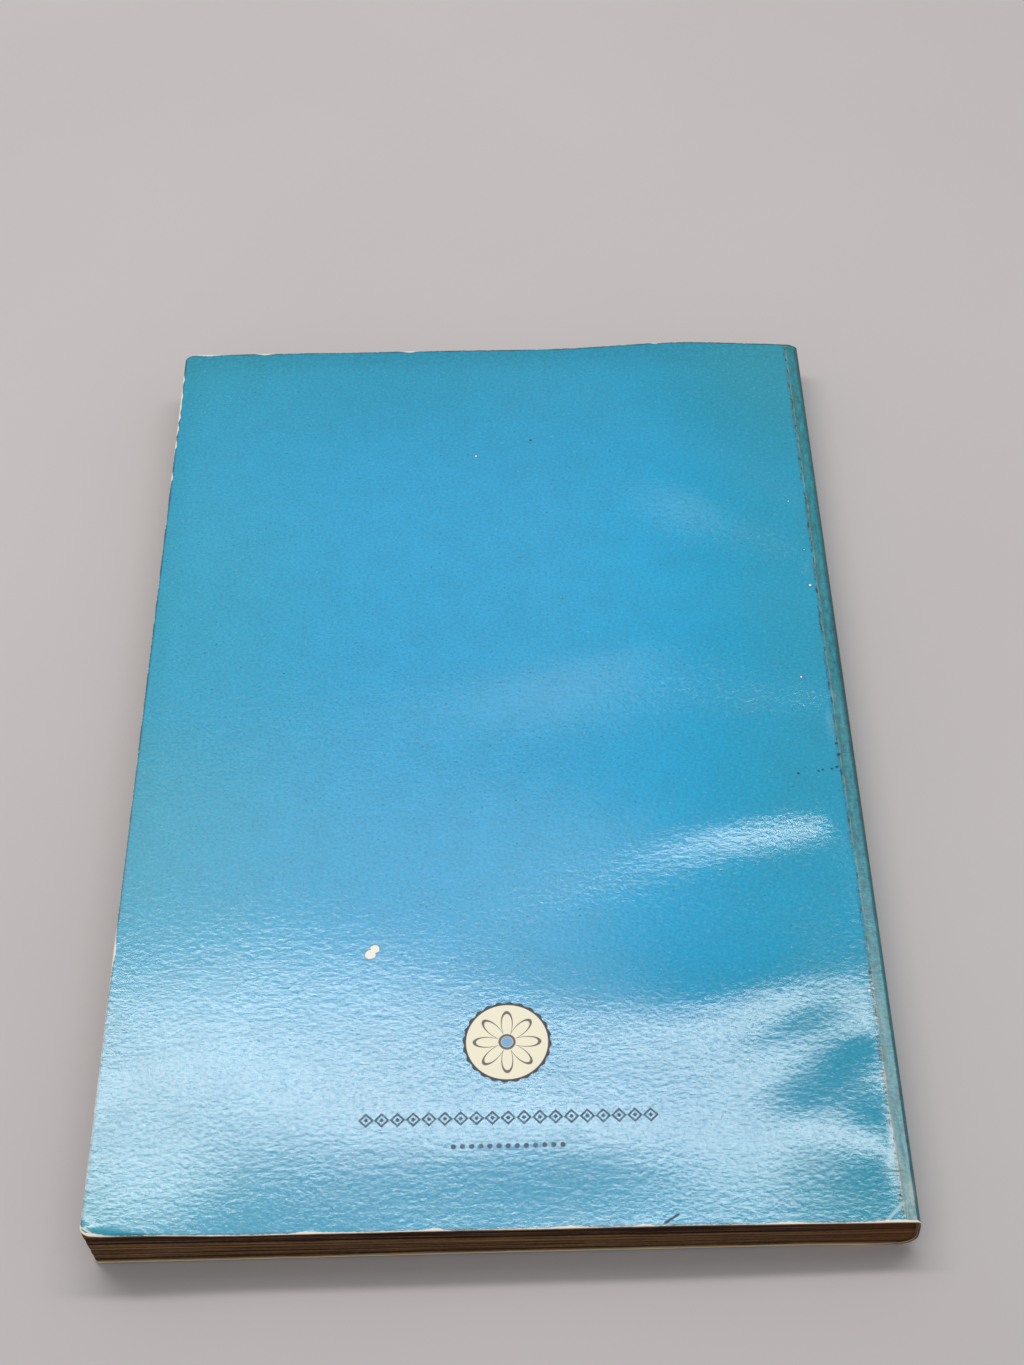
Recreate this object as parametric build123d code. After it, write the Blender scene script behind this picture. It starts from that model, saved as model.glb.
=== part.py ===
"""A worn small-format paperback that lies on its front cover: a wedge of leaves glued into a card wrapper.

The origin is on the table, under the middle of the book. X runs from the fore edge to the spine, Y from the tail
edge to the head, and Z up, so the back cover is on top. All sizes are in millimetres.
"""

import os
from math import asin, atan, cos, degrees, sqrt, tan

from build123d import *

os.makedirs("parts", exist_ok=True)

# The whole book, measured over its covers
book_width = 108.0  # fore edge of the back cover to the crown of the spine, 4 1/4 in
book_height = 162.0  # tail to head, 6 3/8 in
fore_thickness = 9.5  # at the fore edge, where aged leaves swell
spine_thickness = 7.2  # at the spine, where the glue holds them tight

# The card wrapper
card = 0.25
score_gap = 0.1  # open score line between a cover and its hinge strip
back_strip = 1.3  # flat width of the hinge strip under the back cover's score line
front_strip = 0.5  # the same at the front cover, where reading has rolled the spine under
roll_radius = 2.6  # lower bend of the spine, rolled round
crest_radius = 0.65  # upper bend of the spine, still crisp
spine_bulge = 0.25  # how far the spine panel crowns between its bends
fore_lean = 0.4  # how far the front cover's fore edge lies inside the back cover's
head_corner = 1.6  # worn round corner of the back cover at the head
tail_corner = 2.2  # the same at the tail, where the card is lifted
front_corner = 1.2  # both corners of the front cover

# The glue
spine_film = 0.3  # adhesive between the leaves and the spine panel
side_film = 0.06  # side glue under the hinge strips, which also keeps the covers off the leaves

# The leaves
leaf_setback = 0.15  # leaves inside the covers at tail, head and fore edge
leaf_corner = 0.5  # worn corners of the leaf block
gatherings = 9  # bundles of leaves that show as bands on the three trimmed edges
band_step = 0.14  # deepest step between two neighbouring bands
least_radius = 0.1  # sharpest bend that a stack of leaves takes

# The lifted corner of the back cover, at tail and fore edge
curl_leg = 7.0  # corner to the start of the bend, along each edge
cover_lift = 1.0  # rise of the card at its corner
leaf_lift = 0.45  # rise of the leaves under it

half_width = book_width / 2
half_height = book_height / 2
leaf_height = book_height - 2 * leaf_setback
tilt = atan((fore_thickness - spine_thickness) / book_width)
back_score = half_width - spine_bulge - crest_radius - back_strip
front_score = half_width - spine_bulge - roll_radius - front_strip
back_length = (half_width + back_score) / cos(tilt)  # score line to fore edge along the back cover
spare = 1.0  # how far a cutting body runs past what it cuts


def top_at(x):
    """Height of the back cover's outer face above the table."""
    return spine_thickness + (half_width - x) * tan(tilt)


def outline(flat_inset, spine_inset, fore_low, fore_high):
    """The book seen from the tail, moved inwards at the covers and at the spine, from a leaning fore edge."""
    drop = flat_inset / cos(tilt)
    crown = half_width - spine_inset
    side = crown - spine_bulge
    side_top = top_at(side) - drop
    with BuildSketch(Plane.XZ) as sketch:
        with BuildLine():
            Line((fore_low, flat_inset), (side, flat_inset))
            ThreePointArc((side, flat_inset), (crown, (flat_inset + side_top) / 2), (side, side_top))
            Line((side, side_top), (fore_high, top_at(fore_high) - drop))
            Line((fore_high, top_at(fore_high) - drop), (fore_low, flat_inset))
        make_face()
        corners = sketch.vertices().sort_by(Axis.X)[-2:].sort_by(Axis.Y)
        fillet(corners[0], max(roll_radius - spine_inset, least_radius))
        corners = sketch.vertices().filter_by_position(Axis.X, side - least_radius / 2, side + least_radius / 2)
        fillet(corners.sort_by(Axis.Y)[-1], max(crest_radius - spine_inset, least_radius))
    return sketch.sketch


def along_book(face, length):
    """A profile seen from the tail, carried along the spine, half of it towards each end."""
    return extrude(face, amount=length / 2, both=True)


def glued_zone():
    """The space on the spine's side of both score lines, where the wrapper is glued down."""
    middle = spine_thickness / 2
    right = half_width + spare
    upper = Box(
        right - back_score - score_gap / 2,
        book_height + spare,
        middle + spare,
        align=(Align.MAX, Align.CENTER, Align.MIN),
    )
    lower = Box(
        right - front_score - score_gap / 2,
        book_height + spare,
        middle + spare,
        align=(Align.MAX, Align.CENTER, Align.MAX),
    )
    return Pos(right, 0, middle) * upper + Pos(right, 0, middle) * lower


def plate(length, tail_radius, head_radius, thickness):
    """A cover laid flat: outer face at z = 0, card below, score line at x = 0, fore edge at x = -length."""
    with BuildSketch() as sketch:
        with Locations((-score_gap / 2, 0)):
            Rectangle(length - score_gap / 2, book_height, align=(Align.MAX, Align.CENTER))
        fillet(sketch.vertices().group_by(Axis.X)[0].sort_by(Axis.Y)[0], tail_radius)
        fillet(sketch.vertices().group_by(Axis.X)[0].sort_by(Axis.Y)[-1], head_radius)
    return extrude(sketch.sketch, amount=-thickness)


def back_cover_place():
    """Carries a flat cover to the top of the wedge, with its score line at the end of the upper hinge strip."""
    return Pos(back_score, 0, top_at(back_score)) * Rot(0, degrees(tilt), 0)


def bend_plane():
    """The upright plane through the lifted corner's diagonal, its x pointing from the bend line to the corner."""
    middle = (-back_length + curl_leg / 2, -half_height + curl_leg / 2, 0)
    return Plane(origin=middle, x_dir=(-1, -1, 0), z_dir=(-1, 1, 0))


def corner_prism():
    """An upright prism over the triangle between the bend line and the tail and fore corner of a flat cover."""
    with BuildSketch(Plane.XY.offset(-card - spare)) as sketch:
        with BuildLine():
            Polyline(
                (-back_length + curl_leg, -half_height),
                (-back_length - spare, -half_height + curl_leg + spare),
                (-back_length - spare, -half_height - spare),
                (-back_length + curl_leg + spare, -half_height - spare),
                close=True,
            )
        make_face()
    return extrude(sketch.sketch, amount=card + cover_lift + 2 * spare)


def curled_ribbon():
    """Card bent upwards on one arc that starts level at the bend line and has risen by cover_lift at the corner."""
    reach = curl_leg / sqrt(2)
    radius = (reach**2 + cover_lift**2) / (2 * cover_lift)
    turn = degrees(asin(min((reach + spare / 2) / radius, 1)))
    with BuildSketch(bend_plane()) as sketch:
        with BuildLine():
            top = CenterArc((0, radius), radius, -90, turn)
            under = CenterArc((0, radius), radius + card, -90, turn)
            Line(top @ 0, under @ 0)
            Line(top @ 1, under @ 1)
        make_face()
    return extrude(sketch.sketch, amount=curl_leg, both=True)


def make_back_cover():
    corner = corner_prism()
    flat = plate(back_length, tail_corner, head_corner, card) - corner
    footprint = Pos(0, 0, half_height) * plate(back_length, tail_corner, head_corner, book_height)
    return back_cover_place() * (flat + (curled_ribbon() & corner & footprint))


def make_front_cover():
    length = front_score + half_width - fore_lean
    return Pos(front_score, 0, card) * plate(length, front_corner, front_corner, card)


def make_spine_cover():
    outer = outline(0, 0, -half_width, -half_width)
    inner = outline(card, card, -half_width - spare, -half_width - spare)
    return along_book(outer - inner, book_height) & glued_zone()


def leaf_outline():
    fore = -half_width + leaf_setback
    return outline(card + side_film, card + spine_film, fore + fore_lean, fore)


def make_spine_glue():
    inner = outline(card, card, -half_width, -half_width)
    ring = along_book(inner, leaf_height)
    return (ring - along_book(leaf_outline(), book_height)) & glued_zone()


def leaning_trim():
    """The space behind the leaning fore edge and between the trimmed tail and head, high enough for a lifted corner."""
    low = card + side_film
    fore = -half_width + leaf_setback
    high = top_at(fore) - low / cos(tilt)
    rise = cover_lift + spare
    with BuildSketch(Plane.XZ) as sketch:
        with BuildLine():
            Polyline(
                (fore + fore_lean, low),
                (fore - fore_lean * rise / (high - low), high + rise),
                (half_width, high + rise),
                (half_width, low),
                close=True,
            )
        make_face()
    return along_book(sketch.sketch, leaf_height)


def leaf_corner_wedge():
    """The corner of the upper leaves, bent up under the card as one slope."""
    level = -card - side_film
    reach = curl_leg / sqrt(2)
    with BuildSketch(bend_plane()) as sketch:
        with BuildLine():
            Polyline(
                (0, level),
                (reach, level + leaf_lift),
                (reach, level - spare),
                (0, level - spare),
                close=True,
            )
        make_face()
    return back_cover_place() * extrude(sketch.sketch, amount=curl_leg, both=True)


def band_core(index, step):
    """An upright prism that reaches all but step of the trimmed edges of one gathering, with its worn corners."""
    lean = fore_lean * (gatherings - index) / gatherings
    with BuildSketch() as sketch:
        with Locations((-half_width + leaf_setback + lean + step, 0)):
            Rectangle(book_width, leaf_height - 2 * step, align=(Align.MIN, Align.CENTER))
        fillet(sketch.vertices().group_by(Axis.X)[0], leaf_corner)
    return extrude(sketch.sketch, amount=fore_thickness + spare, both=True)


def band_ring(index, step):
    """The rim that a stepped-back gathering lacks: a wedge-shaped slab of the block less the gathering's own core."""
    low = card + side_film
    fore = -half_width - spare
    heights = [(top_at(x) - low - low) / gatherings for x in (fore, half_width)]
    with BuildSketch(Plane.XZ) as sketch:
        with BuildLine():
            Polyline(
                (fore, low + index * heights[0]),
                (half_width, low + index * heights[1]),
                (half_width, low + (index + 1) * heights[1]),
                (fore, low + (index + 1) * heights[0]),
                close=True,
            )
        make_face()
    return along_book(sketch.sketch, book_height) - band_core(index, step)


def make_text_block():
    leaves = along_book(leaf_outline(), leaf_height) + (leaf_corner_wedge() & leaning_trim())
    fore_face = leaves.faces().sort_by(Axis.X)[0]
    leaves = fillet(fore_face.edges().filter_by(Axis.Y, reverse=True).filter_by(Plane.XZ), leaf_corner)
    for index in range(gatherings):
        step = band_step * ((gatherings - 1 - index) % 3) / 2
        if step:
            leaves -= band_ring(index, step)
    return leaves


pieces = {
    "text_block": make_text_block,
    "spine_glue": make_spine_glue,
    "spine_cover": make_spine_cover,
    "back_cover": make_back_cover,
    "front_cover": make_front_cover,
}

for name, make in pieces.items():
    piece = make()
    export_step(piece, f"parts/{name}.step")
    box = piece.bounding_box()
    print(name, "solids", len(piece.solids()), "box", box.min, box.max)
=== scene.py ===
# %% [markdown]
# A worn paperback lies on its front cover, on a pale table. The solids of the book come first, as a fixed
# frame, and this script dresses them: it makes the card and the leaves again with the waves, bends and wear
# that the plain solids lack, and gives every face a finish. The first lines load the frame and keep the
# size of its box for later.

# %% Load the frame
import math

import bpy
import numpy as np
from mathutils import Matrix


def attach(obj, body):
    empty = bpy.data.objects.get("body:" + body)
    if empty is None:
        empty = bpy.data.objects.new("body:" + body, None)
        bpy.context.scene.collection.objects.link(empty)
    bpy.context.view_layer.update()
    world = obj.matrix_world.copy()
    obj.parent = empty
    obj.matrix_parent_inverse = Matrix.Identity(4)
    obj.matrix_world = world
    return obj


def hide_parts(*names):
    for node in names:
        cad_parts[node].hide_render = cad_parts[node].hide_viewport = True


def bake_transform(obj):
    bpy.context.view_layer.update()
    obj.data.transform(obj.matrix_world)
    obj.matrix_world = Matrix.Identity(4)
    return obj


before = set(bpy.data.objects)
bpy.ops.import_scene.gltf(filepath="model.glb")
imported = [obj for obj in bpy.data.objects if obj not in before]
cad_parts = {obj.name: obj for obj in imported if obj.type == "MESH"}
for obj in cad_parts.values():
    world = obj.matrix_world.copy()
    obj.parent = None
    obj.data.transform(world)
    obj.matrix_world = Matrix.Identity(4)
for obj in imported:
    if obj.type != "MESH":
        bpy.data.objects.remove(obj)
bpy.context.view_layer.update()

print("The frame holds", ", ".join(sorted(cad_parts)))

# %% [markdown]
# All shapes are worked out in millimetres, because a book's card is a quarter of one, and are turned to
# metres only when a mesh is made. The sizes repeat those of the solids: X runs from the fore edge to the
# spine, Y from the tail edge to the head, Z up. The block of leaves is a wedge, thinner at the spine, where
# glue holds it tight.

# %% Sizes of the book, in millimetres
MM = 0.001
HALF_WIDTH = 54.0
HALF_HEIGHT = 81.0
FORE_THICKNESS = 9.5
SPINE_THICKNESS = 7.2
CARD = 0.25
SPINE_BULGE = 0.25
ROLL_RADIUS = 2.6
CREST_RADIUS = 0.65
BACK_HINGE_X = 51.8
BACK_STRIP = 1.3
FRONT_HINGE_X = 50.65
SEAM_X = 51.15
FRONT_FORE_X = -53.9
LEAF_SETBACK = 0.15
FORE_LEAN = 0.12
SIDE_FILM = 0.06
SPINE_FILM = 0.3
TILT = math.atan((FORE_THICKNESS - SPINE_THICKNESS) / (2 * HALF_WIDTH))


def top_at(x):
    """Height of the back cover's outer face: a straight slope that falls from the fore edge to the spine."""
    return SPINE_THICKNESS + (HALF_WIDTH - x) * math.tan(TILT)


print("The back cover slopes by", round(math.degrees(TILT), 2), "degrees")

# %% [markdown]
# The camera is set before anything else, so that every render can be held against the photograph. It stands
# in front of the tail edge and looks down steeply. A long side of 36 mm for the sensor suits the upright
# picture.

# %% Camera
CAMERA_PLACE = (8.28, -182.17, 255.73)
CAMERA_TURN = (37.369, 1.888, -0.744)
camera = bpy.data.objects.new("camera", bpy.data.cameras.new("camera"))
bpy.context.scene.collection.objects.link(camera)
camera.location = [along * MM for along in CAMERA_PLACE]
camera.rotation_euler = [math.radians(angle) for angle in CAMERA_TURN]
camera.data.sensor_width = 36
camera.data.lens = 53.204
camera.data.clip_start = 0.01
bpy.context.scene.camera = camera
bpy.context.scene.view_settings.view_transform = "Standard"
print("The camera stands", round(math.hypot(*CAMERA_PLACE)), "mm from the middle of the book")

# %% [markdown]
# The photograph's light is one wide lamp high behind the book, inside a pale tent. It makes the short shadow
# in front of the tail edge, and its blurred reflection in the varnish is the haze on the lower third of the
# cover. An area light does both. Its near and far edges are placed by the mirror rule: a ray from the camera
# that is reflected where the haze starts has to pass its far edge. Round it the tent's ceiling glows, a
# tenth as bright, and mostly at the left. The tent's walls are a dim, even world, which fills the shadows.

# %% Lamp and tent
LAMP_HEIGHT = 0.6
BRIGHTNESS = 30.5
WALL_TINT = (0.96, 0.98, 1, 1)
WALL_STRENGTH = 0.48


def hang_lamp(name, left, right, near, far, brightness, turn):
    """A rectangular lamp over the table. Its energy is its brightness times its area, so its size can be
    changed without changing how bright its reflection is."""
    made = bpy.data.objects.new(name, bpy.data.lights.new(name, "AREA"))
    bpy.context.scene.collection.objects.link(made)
    made.data.shape = "RECTANGLE"
    made.data.size = right - left
    made.data.size_y = far - near
    made.data.energy = brightness * (right - left) * (far - near)
    made.location = ((left + right) / 2, (near + far) / 2, LAMP_HEIGHT)
    made.rotation_euler = turn
    print(name, "gives", round(made.data.energy, 2), "W")


hang_lamp("tent_lamp", -0.48, 0.42, 0.1827, 0.2512, BRIGHTNESS, (-0.35, 0, -0.054))
hang_lamp("glowing_ceiling", -0.5, 0.065, 0.05, 0.416, BRIGHTNESS / 10, (0, 0, 0))

world = bpy.data.worlds.new("tent")
bpy.context.scene.world = world
world.use_nodes = True
world.node_tree.nodes["Background"].inputs["Color"].default_value = WALL_TINT
world.node_tree.nodes["Background"].inputs["Strength"].default_value = WALL_STRENGTH

# %% [markdown]
# Every finish is a tree of shader nodes. One function turns a colour as a painter's chart gives it, in sRGB,
# into the linear numbers that light is reckoned in. One adds a node with its settings and links. One starts
# a material with its shader, whose plain numbers are set straight on its sockets, and one links what the
# tree has worked out to that shader.

# %% Helpers for materials


def colour(code):
    """An sRGB hex colour as linear red, green, blue and full opacity."""
    parts = np.array([int(code[i : i + 2], 16) for i in (1, 3, 5)]) / 255
    linear = np.where(parts <= 0.04045, parts / 12.92, ((parts + 0.055) / 1.055) ** 2.4)
    return (*linear.tolist(), 1)


def add(tree, kind, inputs=(), output=None, **settings):
    """Adds a shader node with its settings. A list fills or links its sockets in their order, a dictionary
    does it by name, and a colour's code becomes its linear numbers. It returns the output of the given name,
    or else the first that is in use."""
    new = tree.nodes.new("ShaderNode" + kind)
    for name, value in settings.items():
        setattr(new, name, value)
    for key, value in (inputs if isinstance(inputs, dict) else dict(enumerate(inputs))).items():
        if isinstance(value, bpy.types.NodeSocket):
            tree.links.new(value, new.inputs[key])
        else:
            new.inputs[key].default_value = colour(value) if isinstance(value, str) else value
    return new.outputs[output] if output else next(socket for socket in new.outputs if socket.enabled)


def start_material(name, **sockets):
    """A material whose Principled shader has the given numbers on its sockets, with _ for a space."""
    material = bpy.data.materials.new(name)
    material.use_nodes = True
    shader = material.node_tree.nodes["Principled BSDF"]
    for key, value in sockets.items():
        shader.inputs[key.replace("_", " ")].default_value = value
    return material, material.node_tree, shader


def finish_with(tree, shader, base, roughness=None, bump=None):
    """Links a colour, a roughness and a bump to the shader's sockets, and says how large the tree is."""
    for key, socket in (("Base Color", base), ("Roughness", roughness), ("Normal", bump)):
        if socket is not None:
            tree.links.new(socket, shader.inputs[key])
    print(len(tree.nodes), "nodes make this finish")


# %% [markdown]
# Wear and print are painted as a painter glazes: a thin colour is laid over what is there, and a share from
# 0 to 1 says where and how strongly. Shares come from noise, from distances and from each other, so a few
# helpers put them together, each from several nodes. All patterns are measured in real millimetres.

# %% Helpers for shares and glazes


def object_place(tree):
    """The place on a piece in its own space, in millimetres."""
    metres = add(tree, "TexCoord", output="Object")
    return add(tree, "VectorMath", [metres, (1 / MM, 1 / MM, 1 / MM)], operation="MULTIPLY")


def noise(tree, place, across, along=None, detail=2, roughness=0.5):
    """Noise whose cells have a real size in millimetres, across the book and along it."""
    sizes = (across, along or across, across)
    stretched = add(tree, "Mapping", {"Vector": place, "Scale": [1 / size for size in sizes]})
    texture = {"Vector": stretched, "Scale": 1, "Detail": detail, "Roughness": roughness}
    return add(tree, "TexNoise", texture)


def mask(tree, *shares):
    """The product of shares. A share is a socket, or a row: a value, the two places between which it counts,
    and the shares at these places where they aren't 0 and 1."""
    sockets = [add(tree, "MapRange", share) if isinstance(share, tuple) else share for share in shares]
    product = sockets[0]
    for other in sockets[1:]:
        product = add(tree, "Math", [product, other], operation="MULTIPLY")
    return product


def strongest(tree, *shares):
    """The largest of some shares, which are given as for a mask."""
    most = mask(tree, shares[0])
    for share in shares[1:]:
        most = add(tree, "Math", [most, mask(tree, share)], operation="MAXIMUM")
    return most


def away(tree, value, middle):
    """How far a value lies from a middle, to either side: the difference without its sign."""
    difference = add(tree, "Math", [value, middle], operation="SUBTRACT")
    return add(tree, "Math", [difference], operation="ABSOLUTE")


def glaze(tree, under, *layers):
    """Colours laid over one another. Each layer is a colour and the shares whose product is its strength."""
    for over, *shares in layers:
        sockets = {"Factor": mask(tree, *shares), "A": under, "B": over}
        under = add(tree, "Mix", sockets, data_type="RGBA")
    return under


print("A glaze of #36AFE0 is", [round(part, 3) for part in colour("#36AFE0")[:3]], "in linear numbers")

# %% [markdown]
# The table is a sheet of pale grey plastic, wide enough to fill the view. It is part of the stage, not of
# the book. Its two greys are written as they should look, because the lamps light a level face at a plain
# level. The sheet lies a hair under the book, so that the two don't flicker where they touch.

# %% Table
TABLE_REACH = 1.5
TABLE_DROP = 0.05
table_skin, tree, shader = start_material("matt_grey_plastic_sheet", Roughness=0.55)
cloud = noise(tree, object_place(tree), 111, detail=3)
finish_with(tree, shader, glaze(tree, "#C1BAB8", ("#CAC4C2", cloud)))
table_mesh = bpy.data.meshes.new("table")
corners = [(x * TABLE_REACH, y * TABLE_REACH, 0) for x, y in ((-1, -1), (1, -1), (1, 1), (-1, 1))]
table_mesh.from_pydata(corners, [], [(0, 1, 2, 3)])
table_mesh.materials.append(table_skin)
table = bpy.data.objects.new("table", table_mesh)
bpy.context.scene.collection.objects.link(table)
table.location.z = -TABLE_DROP * MM

# %% [markdown]
# The wrapper of a paperback is one sheet of card, scored and glued round the leaves. Its shape is a profile,
# seen from the tail edge, that is carried along the spine: down the slope of the back cover, over a crisp
# upper bend, down the crowned spine, round a lower bend that reading has rolled, and back along the table.
# Straight runs and arcs that touch give the profile. The inner face is the same profile with smaller arcs,
# so one length along the card finds the same place on both faces.

# %% Profile of the card
CREST_POINTS = 40
PANEL_POINTS = 30
ROLL_POINTS = 60
ROLL_LAST = CREST_POINTS + PANEL_POINTS + ROLL_POINTS


def arc(centre, radius, start, end, count):
    """Points on a circle between two angles: the centre plus the radius times cosine and sine."""
    angle = np.linspace(start, end, count)
    return np.stack([centre[0] + radius * np.cos(angle), centre[1] + radius * np.sin(angle)], axis=1)


def profile(inset):
    """The card's section (x, z) at a depth under its outer face. The bends' centres lie where a circle
    touches both the straight run and the spine's large arc from inside: the arc's radius less the bend's
    radius from its centre. Eight rounds settle the upper one, whose straight run slopes."""
    side_top = top_at(HALF_WIDTH - SPINE_BULGE)
    crown = (side_top**2 / 4 + SPINE_BULGE**2) / (2 * SPINE_BULGE)
    middle = np.array([HALF_WIDTH - crown, side_top / 2])
    roll = np.array([0, ROLL_RADIUS])
    roll[0] = middle[0] + math.sqrt((crown - ROLL_RADIUS) ** 2 - (roll[1] - middle[1]) ** 2)
    crest = np.array([HALF_WIDTH, 0.0])
    for _ in range(8):
        crest[1] = top_at(crest[0]) - CREST_RADIUS / math.cos(TILT)
        crest[0] = middle[0] + math.sqrt((crown - CREST_RADIUS) ** 2 - (crest[1] - middle[1]) ** 2)
    upper = math.atan2(*(crest - middle)[::-1])
    lower = math.atan2(*(roll - middle)[::-1])
    level = math.pi / 2 - TILT
    down = inset * np.array([math.sin(TILT), math.cos(TILT)])
    return np.concatenate(
        [
            [np.array([-HALF_WIDTH, FORE_THICKNESS]) - down],
            arc(crest, CREST_RADIUS - inset, level, upper, CREST_POINTS),
            arc(middle, crown - inset, upper, lower, PANEL_POINTS),
            arc(roll, ROLL_RADIUS - inset, lower, -math.pi / 2, ROLL_POINTS),
            [[FRONT_FORE_X, inset]],
        ]
    )


outer_profile = profile(0)
inner_profile = profile(CARD)
print("The profile of each face has", len(outer_profile), "points")

# %% [markdown]
# Card doesn't stretch when it is bent, so a place on it is named by its length along the outer face, counted
# from the fore edge of the back cover. The hinges, the bends and the seam between the two pieces of card get
# their lengths here.

# %% Lengths along the card
steps = np.linalg.norm(np.diff(outer_profile, axis=0), axis=1)
profile_length = np.concatenate([[0], np.cumsum(steps)])


def on_profile(length, points):
    """Points at given lengths along the card, between the profile's own points."""
    return np.stack([np.interp(length, profile_length, points[:, axis]) for axis in (0, 1)], axis=-1)


hinge = (BACK_HINGE_X + HALF_WIDTH) / math.cos(TILT)
crest_start = profile_length[1]
spine_start = profile_length[CREST_POINTS]
roll_start = profile_length[CREST_POINTS + PANEL_POINTS]
roll_end = profile_length[ROLL_LAST]
seam = roll_end + outer_profile[ROLL_LAST, 0] - SEAM_X
front_hinge = seam + SEAM_X - FRONT_HINGE_X
card_end = profile_length[-1]
print("The card is", round(card_end, 2), "mm round from fore edge to fore edge")

# %% [markdown]
# Card and paper that have been read are never flat. The back cover has shallow waves beside the spine, a
# corner that has been bent up and rolled over, and a tail edge that rises and falls by half a millimetre.
# These forms are sums of smooth steps and bell curves of the place on the book, so the card and the leaves
# under it can share them.

# %% Bends of the covers
# The bent-up corner: how far it reaches along the tail edge and the fore edge, and its rise
CURL_TAIL, CURL_FORE, CURL_RISE = 4.5, 3.2, 0.5
# Its folded tip: the share of each millimetre of x and y towards the corner, the reach, and the rise
FOLD_X, FOLD_Y, FOLD_REACH, FOLD_RISE = 0.489, 0.873, 1.13, 0.4
# The rolled stretch of the tail edge: its length and depth on the cover, and its drop
ROLLED_LENGTH, ROLLED_DEPTH, ROLLED_DROP = 11.5, 1.5, 0.28
# Each swell of the tail edge: x of its middle, half width, rise
TAIL_SWELLS = [(-36, 6.5, -0.42), (-24, 15, -0.4), (21, 9, 0.28), (-8, 5, 0.1)]
TAIL_FADE = 29
# The arch of the head edge: x of its middle, half width, rise, and how far down the cover it fades
HEAD_ARCH_X, HEAD_ARCH_HALF, HEAD_ARCH_RISE, HEAD_FADE = 33, 10, 1.1, 28


def bell(distance, width):
    """A bell curve: one in the middle, falling with the square of the distance over the width."""
    return np.exp(-((distance / width) ** 2) / 2)


def ramp(value, start, end):
    """A smooth step from 0 at start to 1 at end."""
    t = np.clip((value - start) / (end - start), 0, 1)
    return t * t * (3 - 2 * t)


def corner_lift(x, y):
    """The tail corner is bent up, by the square of the distance past a slanting line, and its tip has been
    folded up along a line of its own, by a fixed share of the distance past that."""
    along_tail = x + HALF_WIDTH
    along_fore = y + HALF_HEIGHT
    past = np.clip(1 - along_tail / CURL_TAIL - along_fore / CURL_FORE, 0, None)
    past_fold = np.clip(FOLD_REACH - FOLD_X * along_tail - FOLD_Y * along_fore, 0, None)
    return CURL_RISE * past**2 + FOLD_RISE * past_fold


def corner_roll(x, y):
    """Beside that tip the edge is rolled down: the square of the distance past an arc off the tail edge."""
    left = 1 - (x + HALF_WIDTH) / ROLLED_LENGTH
    depth = ROLLED_DEPTH * np.clip(left, 0, 1) ** 1.2
    past = np.clip(depth - (y + HALF_HEIGHT), 0, None)
    return -ROLLED_DROP * past**2


def tail_sway(x, y):
    """The tail edge sags near the fore edge and rises towards the spine, fading slowly up the cover."""
    height = sum(rise * bell(x - middle, half) for middle, half, rise in TAIL_SWELLS)
    return height * np.exp(-(y + HALF_HEIGHT) / TAIL_FADE)


def head_rise(x, y):
    """The head edge stands off the leaves beside the spine, in one low arch that fades down the cover."""
    arch = HEAD_ARCH_RISE * bell(x - HEAD_ARCH_X, HEAD_ARCH_HALF)
    return arch * np.exp(-(HALF_HEIGHT - y) / HEAD_FADE)


both_edges = np.meshgrid(np.linspace(-HALF_WIDTH, HALF_WIDTH, 109), [-HALF_HEIGHT, HALF_HEIGHT])
for name, bend in (("corner", corner_lift), ("tail edge", tail_sway), ("head edge", head_rise)):
    print("The", name, "rises by", round(float(bend(*both_edges).max()), 2), "mm at most")

# %% [markdown]
# The small waves carry the streaks of light in the photograph: a wave that faces the camera sees the lamp,
# and one that faces away doesn't. Each is a smooth step, its slope times the distance from its middle times
# a bell curve, and a list of them is easy to tune one by one.

# %% Waves of the back cover
# Each wave: x, y, half length, half width, rise per mm of x of its line, slope
WAVES = [
    (34.6, 39.1, 20.0, 8.0, -0.52, 0.066),
    (40.5, 51.4, 20.0, 6.1, -0.67, -0.102),
    (47.4, 1.9, 20.0, 5.5, 0.09, 0.090),
    (27.0, 7.5, 20.0, 6.5, 0.12, 0.081),
    (38.0, 22.7, 20.0, 6.5, -0.07, -0.095),
    (43.4, -20.6, 19.8, 5.2, 0.12, 0.079),
    (52.3, -19.5, 2.2, 5.2, 0.12, -0.079),
    (30.0, -42.3, 14.5, 7.0, 0.03, -0.052),
    (17.0, -30.1, 11.7, 5.0, 0.21, 0.022),
    (36.6, -53.4, 4.6, 7.0, 0.15, 0.030),
    (39.9, -51.4, 5.6, 4.7, 0.50, -0.050),
    (41.8, -52.5, 4.5, 2.7, 0.38, -0.063),
    (41.7, -56.6, 3.6, 2.2, 0.38, -0.045),
    (47.8, -57.5, 5.8, 5.0, 0.27, -0.056),
    (39.3, -61.3, 3.2, 5.6, 0.30, -0.041),
    (45.3, -61.5, 4.9, 7.0, 0.80, -0.040),
    (46.9, -54.5, 8.7, 1.9, 0.43, 0.018),
    (49.4, -66.0, 3.0, 4.6, 0.34, -0.055),
    (-17.5, -44.0, 20.0, 10.5, -0.27, 0.009),
    (-5.0, -74.9, 13.5, 6.0, -0.11, 0.011),
    (16.7, -75.4, 6.2, 5.7, -0.15, 0.009),
    (-44.5, -75.2, 8.0, 10.5, 0.10, -0.021),
    (-51.0, -56.0, 6.0, 5.0, 0.00, -0.009),
    (50.5, -67.0, 4.0, 6.0, 0.00, -0.034),
    (49.0, -55.5, 4.0, 3.5, 0.10, -0.022),
    (9.0, -73.0, 12.0, 8.0, 0.00, 0.025),
]
MOST_AT_HINGE = 0.12


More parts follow.
